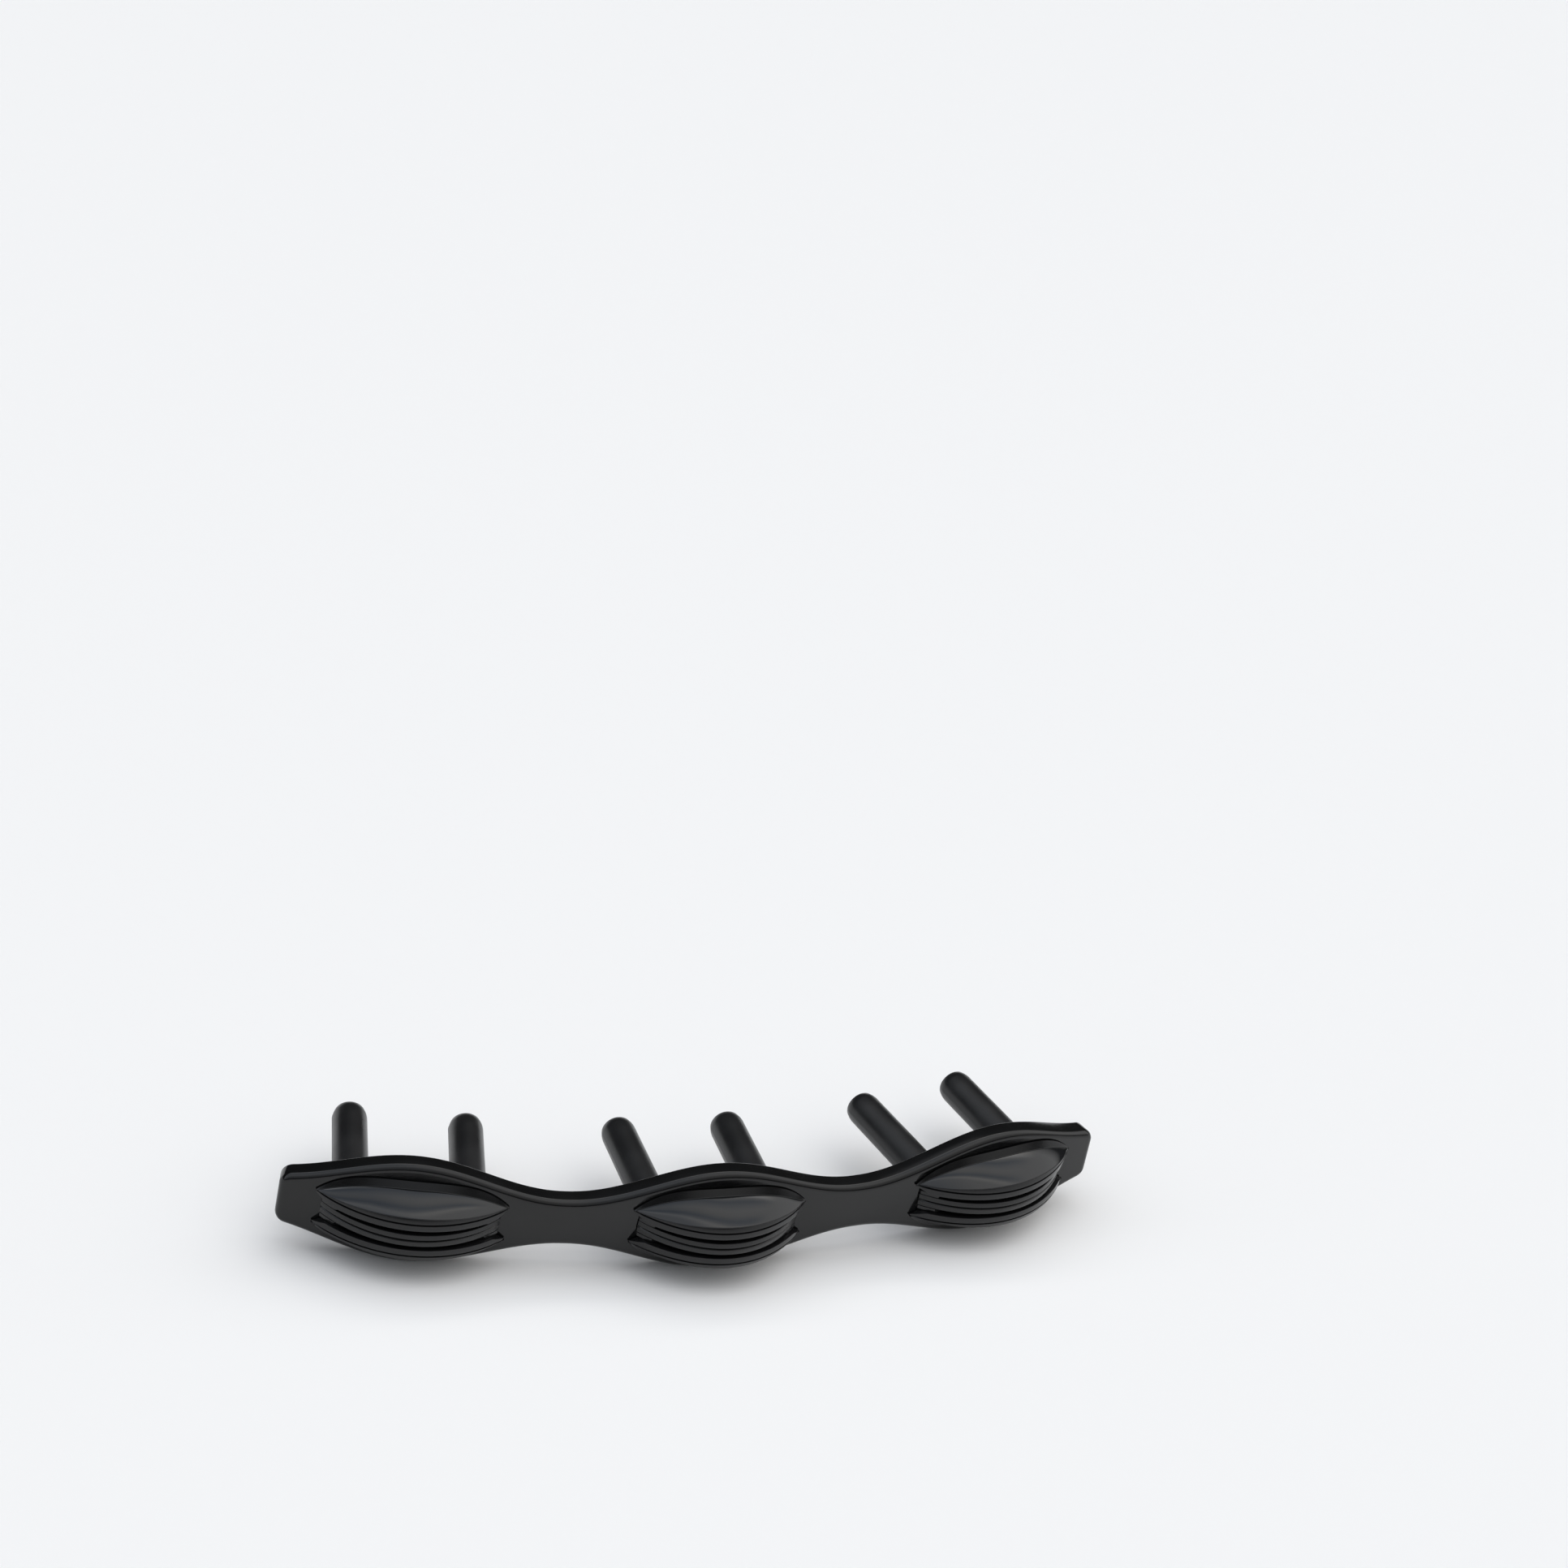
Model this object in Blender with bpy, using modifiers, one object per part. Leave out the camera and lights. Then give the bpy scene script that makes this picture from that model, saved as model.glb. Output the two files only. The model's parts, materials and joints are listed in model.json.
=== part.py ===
"""Three-pod string-loop vibration dampener for a racket's throat bridge.

World frame: X along the strip, +Y into the bridge (towards the racket head), Z normal to the
string bed. The origin is the middle of the strip's flat seat, on its back face.
Every pod is modelled in its own frame: u along the strip, h outwards, z up.
All driving dimensions are in millimetres and are scaled once, by MM.
"""

import math

import bmesh
import bpy
from mathutils import Matrix, Vector

MM = 0.001

# Carrier strip
ARC_R = 115.4  # radius of the strip's outer face
STRIP_T = 1.9  # thickness
STRIP_HALF = 40.1  # half length along the arc
NECK_W = 2.4  # half width between the pods
POD_W = 5.3  # half width at a pod
SCALLOP_L = 13.9  # reach of one scallop each side of its pod
END_R = 1.0  # corner radius of the blunt ends
SEAT_U = 3.5  # half length of the flat seat behind each pod

# Pods: name, arc position, half length, height
POD_S = 28.18
PODS = (
    ("left", -POD_S, 8.70, 3.65),
    ("centre", 0.0, 8.25, 4.00),
    ("right", POD_S, 8.70, 3.65),
)
TIP_H = 0.26  # height of a pod's edge at its tips
TIP_Z = 1.74  # where the cap's outlines meet at the tips
SLOT_Z = 1.06  # cap face towards the slot
EDGE_Z = 1.70  # outer corner of the cap's flank
LENS_LOW_Z = 2.38  # lower outline of the lens facet
LENS_DROP = 0.22  # how far that outline sits below the crest
LENS_HIGH_H = 0.55  # upper outline of the lens facet
LENS_HIGH_Z = 3.30
FOOT_Z = 3.90  # foot of the cap on the strip
CAP_SEAT = 0.15  # gap between a cap and the strip's face
CAP_STEPS = 15  # half the stations along a cap

# Root keys that hold the caps in the strip
KEY_U = 2.8
KEY_Z = (1.95, 2.75)
KEY_H = (-0.80, 0.36)

# Lens inlays
LENS_GAP = 0.20  # around the outline
LENS_FLOOR = 0.12  # under the inlay
LENS_DOME = 0.10
LENS_END_K = 0.156  # where the almond outline ends

# Middle lamella, an arch over the string loop
LAMELLA_SHARE = 0.93  # of the cap's half length
LAMELLA_Z = 0.60  # half thickness
LAMELLA_ARCH = 0.84  # share of its half length spanned by the arch under it
LAMELLA_DEEP = 1.35  # depth at mid span

# String barrels
BARREL_U = 5.3  # each side of the pod's centre
BARREL_R = 1.65
BORE_R = 1.0
FLANGE_R = 2.15
FLANGE_TOP = -0.20
FLANGE_T = 0.50
BARREL_END = -14.4
TURN_STEPS = 24

# String saddle
SADDLE_U = 2.55
SADDLE_Z = 0.75
SADDLE_H = (-0.40, 0.80)

FIT = 0.20  # gap between a piece and the pocket it sits in


def clear_scene():
    for obj in list(bpy.data.objects):
        bpy.data.objects.remove(obj, do_unlink=True)


def new_collection(name):
    collection = bpy.data.collections.new(name)
    bpy.context.scene.collection.children.link(collection)
    return collection


def material(name, colour, roughness):
    mat = bpy.data.materials.new(name)
    mat.use_nodes = True
    shader = mat.node_tree.nodes["Principled BSDF"]
    shader.inputs["Base Color"].default_value = (*colour, 1.0)
    shader.inputs["Roughness"].default_value = roughness
    shader.inputs["Metallic"].default_value = 0.0
    mat.diffuse_color = (*colour, 1.0)
    return mat


def sag(u):
    """How far the strip's face falls away from the pod's tangent plane."""
    return ARC_R - math.sqrt(ARC_R * ARC_R - u * u)


def pod_frame(s):
    """World matrix of a pod: X along the strip, -Y outwards, origin on the strip's face."""
    angle = s / ARC_R
    origin = Vector((ARC_R * math.sin(angle), ARC_R - ARC_R * math.cos(angle) - STRIP_T, 0.0))
    return Matrix.Translation(origin * MM) @ Matrix.Rotation(angle, 4, "Z")


def place(obj, s, u, h, z):
    """Put an object's origin at one point of a pod's frame."""
    obj.matrix_world = pod_frame(s) @ Matrix.Translation(Vector((u, -h, z)) * MM)


def add_object(name, mesh, collection, mat):
    obj = bpy.data.objects.new(name, mesh)
    collection.objects.link(obj)
    if mat is not None:
        mesh.materials.append(mat)
    return obj


def loft(name, sections, smooth_angle):
    """Closed skin through sections with the same number of points, ends filled."""
    bm = bmesh.new()
    rings = [[bm.verts.new(Vector(p) * MM) for p in section] for section in sections]
    count = len(rings[0])
    for ring, following in zip(rings, rings[1:]):
        for i in range(count):
            j = (i + 1) % count
            bm.faces.new((ring[i], ring[j], following[j], following[i]))
    bm.faces.new(list(reversed(rings[0])))
    bm.faces.new(rings[-1])
    bmesh.ops.recalc_face_normals(bm, faces=bm.faces)
    mesh = bpy.data.meshes.new(name)
    bm.to_mesh(mesh)
    bm.free()
    mesh.shade_smooth()
    mesh.set_sharp_from_angle(angle=math.radians(smooth_angle))
    return mesh


def boolean(obj, cutter, operation):
    modifier = obj.modifiers.new(cutter.name, "BOOLEAN")
    modifier.operation = operation
    modifier.solver = "EXACT"
    modifier.object = cutter
    return modifier


def hide_tool(obj):
    obj.hide_render = True
    obj.display_type = "WIRE"


def box_tool(name, s, low, high, collection):
    """A box in a pod's frame, given by its low and high corners (u, h, z)."""
    bm = bmesh.new()
    bmesh.ops.create_cube(bm, size=1.0)
    size = [(b - a) * MM for a, b in zip(low, high)]
    bmesh.ops.scale(bm, vec=Vector(size), verts=bm.verts)
    mesh = bpy.data.meshes.new(name)
    bm.to_mesh(mesh)
    bm.free()
    obj = bpy.data.objects.new(name, mesh)
    collection.objects.link(obj)
    middle = [(a + b) / 2 for a, b in zip(low, high)]
    place(obj, s, middle[0], middle[1], middle[2])
    hide_tool(obj)
    return obj


def turned(name, profile, collection, mat):
    """Revolve a closed outline of (radius, height) points about the object's own Z axis."""
    bm = bmesh.new()
    verts = [bm.verts.new((r * MM, 0.0, h * MM)) for r, h in profile]
    for i, vert in enumerate(verts):
        bm.edges.new((vert, verts[(i + 1) % len(verts)]))
    mesh = bpy.data.meshes.new(name)
    bm.to_mesh(mesh)
    bm.free()
    obj = add_object(name, mesh, collection, mat)
    screw = obj.modifiers.new("turn", "SCREW")
    screw.axis = "Z"
    screw.angle = 2 * math.pi
    screw.steps = TURN_STEPS
    screw.render_steps = TURN_STEPS
    screw.use_merge_vertices = True
    screw.merge_threshold = 0.000001
    screw.use_smooth_shade = True
    return obj


def stand(obj, s, u):
    """Turn an object's own Z axis outwards at (u, 0, 0) of a pod."""
    obj.matrix_world = (
        pod_frame(s) @ Matrix.Translation(Vector((u, 0.0, 0.0)) * MM) @ Matrix.Rotation(math.pi / 2, 4, "X")
    )


# ---------------------------------------------------------------- carrier strip


def half_width(s):
    width = NECK_W
    for _, centre, _, _ in PODS:
        reach = (s - centre) / SCALLOP_L
        if abs(reach) < 1:
            width += (POD_W - NECK_W) * 0.5 * (1 + math.cos(math.pi * reach))
    inset = abs(s) - (STRIP_HALF - END_R)
    if inset > 0:
        width -= END_R - math.sqrt(max(END_R**2 - inset**2, 0.0))
    return width


def strip_stations():
    """Arc positions of the strip's sections, with one at each end of every seat."""
    keys = [-STRIP_HALF + END_R]
    for _, centre, _, _ in PODS:
        keys += [centre - SEAT_U, centre + SEAT_U]
    keys.append(STRIP_HALF - END_R)
    stations = []
    for a, b in zip(keys, keys[1:]):
        steps = max(2, math.ceil((b - a) / 1.3))
        stations += [a + (b - a) * i / steps for i in range(steps)]
    stations.append(keys[-1])
    corner = [END_R * f for f in (0.4, 0.7, 0.9, 1.0)]
    left = [-STRIP_HALF + END_R - c for c in reversed(corner)]
    right = [STRIP_HALF - END_R + c for c in corner]
    return left + stations + right


def strip_point(s, h, z):
    """A point of the strip; the back face is flat behind each pod."""
    if h < -STRIP_T + 0.001:
        for _, centre, _, _ in PODS:
            if abs(s - centre) <= SEAT_U + 0.001:
                local = Vector(((ARC_R - STRIP_T) * math.sin((s - centre) / ARC_R), STRIP_T, z))
                return (pod_frame(centre) @ (local * MM)) / MM
    angle = s / ARC_R
    radius = ARC_R + h
    return Vector((radius * math.sin(angle), ARC_R - radius * math.cos(angle) - STRIP_T, z))


def strip_section(s):
    w = half_width(s)
    half = [
        (0.0, w - 0.62),
        (-0.06, w - 0.36),
        (-0.18, w - 0.17),
        (-0.38, w - 0.04),
        (-0.62, w),
        (-STRIP_T + 0.18, w),
        (-STRIP_T, w - 0.18),
    ]
    other = [(h, -z) for h, z in reversed(half)]
    return [strip_point(s, h, z) for h, z in half + other]


def make_strip(collection, tools):
    mat = material("strip_polymer", (0.018, 0.018, 0.019), 0.28)
    mesh = loft("carrier_strip", [strip_section(s) for s in strip_stations()], 40)
    bm = bmesh.new()
    bm.from_mesh(mesh)
    bmesh.ops.dissolve_limit(bm, angle_limit=math.radians(0.02), verts=bm.verts, edges=bm.edges)
    bm.to_mesh(mesh)
    bm.free()
    strip = add_object("carrier_strip", mesh, collection, mat)
    floor = FLANGE_TOP - FLANGE_T - FIT
    for name, s, _, _ in PODS:
        for side, u in (("a", -BARREL_U), ("b", BARREL_U)):
            hole = turned(
                f"hole_{name}_{side}",
                [
                    (0.0, 1.5),
                    (FLANGE_R + FIT, 1.5),
                    (FLANGE_R + FIT, floor),
                    (BARREL_R + FIT, floor),
                    (BARREL_R + FIT, -STRIP_T - 1.5),
                    (0.0, -STRIP_T - 1.5),
                ],
                tools,
                None,
            )
            stand(hole, s, u)
            hide_tool(hole)
            boolean(strip, hole, "DIFFERENCE")
        deep = SADDLE_H[0] - FIT
        recess = box_tool(
            f"recess_{name}",
            s,
            (-SADDLE_U - FIT, deep, -SADDLE_Z - FIT),
            (SADDLE_U + FIT, 1.5, SADDLE_Z + FIT),
            tools,
        )
        boolean(strip, recess, "DIFFERENCE")
        for side, sign in (("upper", 1), ("lower", -1)):
            zs = sorted((sign * (KEY_Z[0] - FIT), sign * (KEY_Z[1] + FIT)))
            slot = box_tool(
                f"slot_{side}_{name}",
                s,
                (-KEY_U - FIT, KEY_H[0] - FIT, zs[0]),
                (KEY_U + FIT, 1.5, zs[1]),
                tools,
            )
            boolean(strip, slot, "DIFFERENCE")
    return strip


# ---------------------------------------------------------------- pods


def crest(u, half, height):
    """Height of a pod's outer edge at u."""
    k = 1 - (u / half) ** 2
    return TIP_H + (height - TIP_H) * k - sag(u) * (1 - k)


def facet(u, half, height):
    """The lens facet's two outline points (h, z) and its inward normal."""
    k = 1 - (u / half) ** 2
    low = Vector((crest(u, half, height) - LENS_DROP * k, TIP_Z + (LENS_LOW_Z - TIP_Z) * k))
    high = Vector((TIP_H + (LENS_HIGH_H - TIP_H) * k - sag(u), TIP_Z + (LENS_HIGH_Z - TIP_Z) * k))
    along = (high - low).normalized()
    inward = Vector((-along.y, along.x))
    if inward.y > 0:
        inward = -inward
    return low, high, inward


def pocket_depth(u, half):
    return 0.25 + 0.30 * (1 - (u / half) ** 2)


def lens_end(half):
    return half * math.sqrt(1 - LENS_END_K)


def spread(end, steps):
    """Stations from -end to end, closer together towards the ends."""
    return [end * math.sin(math.pi / 2 * i / steps) for i in range(-steps, steps + 1)]


def cap_section(u, half, height, open_pocket):
    k = 1 - (u / half) ** 2
    top = crest(u, half, height)
    base = -sag(u) + CAP_SEAT
    low, high, inward = facet(u, half, height)
    depth = pocket_depth(u, half) if open_pocket else 0.02
    soft = 0.02 + 0.10 * k
    flank = TIP_Z + (EDGE_Z - TIP_Z) * k
    return [
        (u, base, SLOT_Z),
        (u, top - soft, SLOT_Z),
        (u, top, SLOT_Z + soft),
        (u, top, flank - 0.3 * soft),
        (u, low.x, low.y),
        (u, low.x + inward.x * depth, low.y + inward.y * depth),
        (u, high.x + inward.x * depth, high.y + inward.y * depth),
        (u, high.x, high.y),
        (u, base, TIP_Z + (FOOT_Z - TIP_Z) * k),
    ]


def to_local(section, origin, sign):
    """(u, h, z) points to object coordinates about the origin (h, z), mirrored for the lower half."""
    return [(u, -(h - origin[0]), sign * (z - origin[1])) for u, h, z in section]


HINGE = (CAP_SEAT, (KEY_Z[0] + KEY_Z[1]) / 2)  # where a cap flexes on its key


def make_cap(name, side, s, half, height, collection, tools, mat):
    sign = 1 if side == "upper" else -1
    end = half * 0.975
    lens = lens_end(half)
    inner = [(u, True) for u in spread(lens, CAP_STEPS)]
    rim = [(lens + LENS_GAP, True), (lens + LENS_GAP + 0.03, False), (end, False)]
    stations = [(-u, flag) for u, flag in reversed(rim)] + inner + rim
    sections = [
        to_local(cap_section(u, half, height, flag), HINGE, sign) for u, flag in stations
    ]
    mesh = loft(f"{side}_cap_{name}", sections, 28)
    cap = add_object(f"{side}_cap_{name}", mesh, collection, mat)
    place(cap, s, 0.0, HINGE[0], sign * HINGE[1])
    zs = sorted((sign * KEY_Z[0], sign * KEY_Z[1]))
    key = box_tool(
        f"key_{side}_{name}", s, (-KEY_U, KEY_H[0], zs[0]), (KEY_U, KEY_H[1], zs[1]), tools
    )
    boolean(cap, key, "UNION")
    return cap


def lens_section(u, half, height):
    low, high, inward = facet(u, half, height)
    along = (high - low).normalized()
    start = low + along * LENS_GAP
    stop = high - along * LENS_GAP
    width = (stop - start).length
    thick = pocket_depth(u, half) - LENS_FLOOR
    rise = LENS_DOME * min(1.0, width / 2.0)
    points = []
    for share in (0.0, 0.12, 0.3, 0.5, 0.7, 0.88, 1.0):
        lift = rise * (1 - (2 * share - 1) ** 2)
        points.append(start + along * (width * share) - inward * lift)
    points.append(stop + inward * thick)
    points.append(start + inward * thick)
    return [(u, p.x, p.y) for p in points]


def make_lens(name, side, s, half, height, collection, mat):
    sign = 1 if side == "upper" else -1
    stations = spread(lens_end(half), CAP_STEPS)
    sections = [to_local(lens_section(u, half, height), HINGE, sign) for u in stations]
    mesh = loft(f"{side}_lens_{name}", sections, 35)
    lens = add_object(f"{side}_lens_{name}", mesh, collection, mat)
    place(lens, s, 0.0, HINGE[0], sign * HINGE[1])
    return lens


LAMELLA_HINGE = (0.10, 0.0)


def lamella_section(u, half, height):
    top = crest(u, half, height)
    span = half * LAMELLA_ARCH
    base = -sag(u) + CAP_SEAT
    inner = base
    if abs(u) < span:
        inner = base + (height - LAMELLA_DEEP - base) * (1 - (abs(u) / span) ** 4)
    z = LAMELLA_Z
    return [
        (u, inner, -z),
        (u, inner, z),
        (u, max(top - 0.05, inner + 0.05), z),
        (u, top, z - 0.05),
        (u, top + 0.05, 0.0),
        (u, top, -z + 0.05),
        (u, max(top - 0.05, inner + 0.05), -z),
    ]


def make_lamella(name, s, cap_half, height, collection, mat):
    half = cap_half * LAMELLA_SHARE
    end = half * 0.985
    span = half * LAMELLA_ARCH
    stations = spread(span, 14)
    rim = [span + (end - span) * f for f in (0.35, 0.7, 1.0)]
    stations = [-u for u in reversed(rim)] + stations + rim
    sections = [to_local(lamella_section(u, half, height), LAMELLA_HINGE, 1) for u in stations]
    mesh = loft(f"middle_lamella_{name}", sections, 30)
    lamella = add_object(f"middle_lamella_{name}", mesh, collection, mat)
    place(lamella, s, 0.0, LAMELLA_HINGE[0], LAMELLA_HINGE[1])
    return lamella


# ---------------------------------------------------------------- string path


def make_barrel(number, s, u, collection, mat):
    bottom = FLANGE_TOP - FLANGE_T
    profile = [
        (BORE_R + 0.32, FLANGE_TOP),
        (FLANGE_R - 0.18, FLANGE_TOP),
        (FLANGE_R, FLANGE_TOP - 0.16),
        (FLANGE_R, bottom + 0.08),
        (FLANGE_R - 0.08, bottom),
        (BARREL_R, bottom),
        (BARREL_R, BARREL_END + 0.9),
        (BARREL_R - 0.22, BARREL_END),
        (BORE_R + 0.10, BARREL_END),
        (BORE_R, BARREL_END + 0.25),
        (BORE_R, FLANGE_TOP - 0.45),
        (BORE_R + 0.09, FLANGE_TOP - 0.14),
    ]
    barrel = turned(f"string_barrel_{number}", profile, collection, mat)
    stand(barrel, s, u)
    return barrel


def make_saddle(name, s, collection, mat):
    """Half-round bar between two barrel mouths: a side outline extruded across the pod."""
    low, high = SADDLE_H
    radius = 0.80
    curve = bpy.data.curves.new(f"string_saddle_{name}", "CURVE")
    curve.dimensions = "2D"
    curve.fill_mode = "BOTH"
    outline = [(-SADDLE_U, low), (SADDLE_U, low), (SADDLE_U, high - radius)]
    for i in range(1, 7):
        a = math.pi / 2 * i / 6
        outline.append((SADDLE_U - radius * (1 - math.cos(a)), high - radius * (1 - math.sin(a))))
    for i in range(0, 7):
        a = math.pi / 2 * (1 + i / 6)
        outline.append((-SADDLE_U + radius * (1 + math.cos(a)), high - radius * (1 - math.sin(a))))
    spline = curve.splines.new("POLY")
    spline.points.add(len(outline) - 1)
    for point, (u, h) in zip(spline.points, outline):
        point.co = (u * MM, h * MM, 0.0, 1.0)
    spline.use_cyclic_u = True
    curve.extrude = (SADDLE_Z - 0.08) * MM
    curve.bevel_depth = 0.08 * MM
    curve.bevel_resolution = 1
    curve.offset = -0.08 * MM
    shape = bpy.data.objects.new(f"outline_{name}", curve)
    collection.objects.link(shape)
    mesh = bpy.data.meshes.new_from_object(shape.evaluated_get(bpy.context.evaluated_depsgraph_get()))
    bpy.data.objects.remove(shape, do_unlink=True)
    bm = bmesh.new()
    bm.from_mesh(mesh)
    bmesh.ops.remove_doubles(bm, verts=bm.verts, dist=0.000005)
    bmesh.ops.recalc_face_normals(bm, faces=bm.faces)
    bm.to_mesh(mesh)
    bm.free()
    mesh.name = f"string_saddle_{name}"
    mesh.materials.clear()
    saddle = add_object(f"string_saddle_{name}", mesh, collection, mat)
    stand(saddle, s, 0.0)
    saddle.matrix_world = pod_frame(s) @ Matrix.Rotation(math.pi, 4, "X")
    return saddle


def main():
    clear_scene()
    collection = new_collection("vibration_dampener")
    tools = new_collection("cutters")
    make_strip(collection, tools)
    number = 0
    for name, s, half, height in PODS:
        for side in ("upper", "lower"):
            cap_mat = material(f"{side}_cap_{name}_elastomer", (0.022, 0.022, 0.023), 0.34)
            make_cap(name, side, s, half, height, collection, tools, cap_mat)
            lens_mat = material(f"{side}_lens_{name}_gloss", (0.030, 0.032, 0.036), 0.12)
            make_lens(name, side, s, half, height, collection, lens_mat)
        lamella_mat = material(f"middle_lamella_{name}_elastomer", (0.020, 0.020, 0.021), 0.38)
        make_lamella(name, s, half, height, collection, lamella_mat)
        saddle_mat = material(f"string_saddle_{name}_nylon", (0.035, 0.035, 0.037), 0.45)
        make_saddle(name, s, collection, saddle_mat)
        for u in (-BARREL_U, BARREL_U):
            number += 1
            barrel_mat = material(f"string_barrel_{number}_nylon", (0.030, 0.030, 0.032), 0.42)
            make_barrel(number, s, u, collection, barrel_mat)


main()
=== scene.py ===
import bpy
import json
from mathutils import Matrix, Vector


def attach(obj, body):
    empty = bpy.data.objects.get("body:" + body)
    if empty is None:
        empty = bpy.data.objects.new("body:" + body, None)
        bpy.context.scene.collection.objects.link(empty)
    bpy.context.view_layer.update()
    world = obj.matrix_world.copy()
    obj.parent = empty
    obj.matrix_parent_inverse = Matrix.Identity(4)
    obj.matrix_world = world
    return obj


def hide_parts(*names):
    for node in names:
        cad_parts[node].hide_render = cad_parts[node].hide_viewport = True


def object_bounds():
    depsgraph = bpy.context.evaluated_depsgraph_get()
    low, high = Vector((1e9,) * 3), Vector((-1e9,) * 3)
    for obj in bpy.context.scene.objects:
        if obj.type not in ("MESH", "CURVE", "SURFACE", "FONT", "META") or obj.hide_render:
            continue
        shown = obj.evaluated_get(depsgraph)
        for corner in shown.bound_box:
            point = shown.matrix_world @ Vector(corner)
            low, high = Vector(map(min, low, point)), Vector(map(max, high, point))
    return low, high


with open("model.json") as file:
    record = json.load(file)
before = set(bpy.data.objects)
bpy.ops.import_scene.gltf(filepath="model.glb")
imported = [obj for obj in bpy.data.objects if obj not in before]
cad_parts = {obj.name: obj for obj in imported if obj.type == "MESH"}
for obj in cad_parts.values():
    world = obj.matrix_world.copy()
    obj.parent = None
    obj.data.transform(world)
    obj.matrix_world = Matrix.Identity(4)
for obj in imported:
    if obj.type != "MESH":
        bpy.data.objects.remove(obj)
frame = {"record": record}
cad_box = [[float(x) for x in corner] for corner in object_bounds()]

import json
import math

import bmesh
import bpy
from mathutils import Matrix, Vector

MM = 0.001
RECORD = frame["record"]

# ------------------------------------------------------------------ sizes, in millimetres
# u runs along the strip, h outwards from its face and z up, all from the middle of a pod

# carrier strip
ARC_R = 115.4  # radius of the face
STRIP_T = 1.9  # thickness
STRIP_HALF = 40.1  # half length along the arc
NECK_W = 2.4  # half width between the pods
POD_W = 5.3  # half width at a pod
SCALLOP_L = 13.9  # reach of one scallop each side of its pod
END_R = 1.0  # corner radius of the blunt ends
LIP_R = 0.60  # rounding of the front edge
LIP_STEP = 0.02  # where the face ends and the lip begins
WALL_H = -0.90  # a station on the side wall
BACK_R = 0.16  # rounding of the back edge
SEAT_U = 3.5  # half length of the flat seat behind each pod

# pods: name, place along the arc, half length, height
POD_S = 28.18
PODS = (("left", -POD_S, 8.70, 3.65), ("centre", 0.0, 8.25, 4.00), ("right", POD_S, 8.70, 3.65))
TIP_H = 0.26  # height of a crest near the pod's tips
TIP_LOW = 0.07  # and at the very tips
TIP_Z = 1.74  # where the outlines of a plate meet
TIP_FACE = 0.10  # how far the inner face stays from there
TIP_TAPER = 0.86  # beyond this share the inner face of a plate runs out to its tip
SLOT_Z = 1.06  # inner face of a plate
EDGE_Z = 1.72  # its slit
LENS_LOW_Z = 2.28  # lower outline of the facet
LENS_DROP = 0.18  # how far that outline sits below the crest
LENS_HIGH_H = 0.55  # upper outline of the facet
LENS_HIGH_Z = 3.32
LENS_FULL = 2.7  # power of the facet's upper outline
FOOT_Z = 3.90  # foot of a plate on the strip
FOOT_FULL = 4  # power of the foot's outline
CAP_SEAT = 0.14  # gap under a plate
CAP_END = 0.993  # share of the half length where a plate ends
SLIT_W = 0.085  # half width of the slits that set off the bevels of the plates
LINE_W = 0.135  # half width of the fine moulded line on a lamella
LINE_D = 0.24  # depth of slits and lines
SOFT_K = 0.16  # below this share of the height fine details fade out
HINGE = (0.15, 2.35)  # (h, z) of a plate's hinge

# lens inlays
RIM_W = 0.035  # rim of the plate round its inlay
RIM_STEP = 0.004  # draft of the pocket's walls
SEAM = 0.008  # visible line round each inlay
LENS_K = 0.055  # share of the height where an inlay ends
LENS_DOME = 0.085
LENS_WIDE = 2.4  # an inlay narrower than this is less domed
LENS_EDGE = 0.045
LENS_FLOOR = 0.03  # gap under an inlay
POCKET_TIP = 0.05  # depth of the pocket at its tips
POCKET_MORE = 0.40  # and what the middle has more
POCKET_K = 0.7

# middle lamella
LAMELLA_HINGE = (0.10, 0.0)
LAMELLA_SHARE = 0.93  # of a plate's half length
LAMELLA_Z = 0.60  # half thickness
LAMELLA_SEAT = 0.06  # gap under it
LAMELLA_ARCH = 0.84  # share of its half length spanned by the arch under it
LAMELLA_DEEP = 1.35  # depth of the tongue over the arch
LAMELLA_LIP = 0.04
LAMELLA_END = 0.99

# ribs that close the slots towards the tips of a pod
RIB_H = 1.25  # floor of the slots
RIB_U = 3.3
RIB_IN = 0.06  # gap to the lamella
RIB_OUT = 0.075  # gap to a plate
RIB_SHARE = 0.985
RIB_UNDER = 0.012  # how far a rib stays below the lamella's crest
RIB_ROOT = 0.12  # depth of a rib in the strip
RIB_STEPS = 20

# root keys of the plates
KEY_U = 2.8
KEY_Z = (1.95, 2.75)
KEY_H = (-0.80, 0.32)
KEY_R = 0.2

# string barrels
BARREL_U = 5.3
BARREL_R = 1.65
BORE_R = 1.0
FLANGE_R = 2.15
FLANGE_TOP = -0.20
FLANGE_T = 0.50
FLANGE_EDGE = 0.16
FLANGE_CHAMFER = (0.05, 0.06)  # in radius and in height
MOUTH_R = 0.32
DRAFT = 0.06
BARREL_END = -14.4
BARREL_SEAM = 0.03
FIT = 0.20  # gap round what sits in the strip

# holes in the strip
CUT_TOP = 1.5  # how far cutters stand out of the face
CUT_BACK = 1.0
HOLE_FLARE = 0.12
HOLE_EDGE = 0.10
SLOT_R = 0.3
RECESS_R = 0.25

# string saddles
SADDLE_U = 2.55
SADDLE_Z = 0.75
SADDLE_H = (-0.40, 0.80)
SADDLE_R = 0.80
SADDLE_EDGE = 0.12
SADDLE_ROWS = 15
GROOVE_D = 0.13
GROOVE_Z = 0.55


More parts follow.
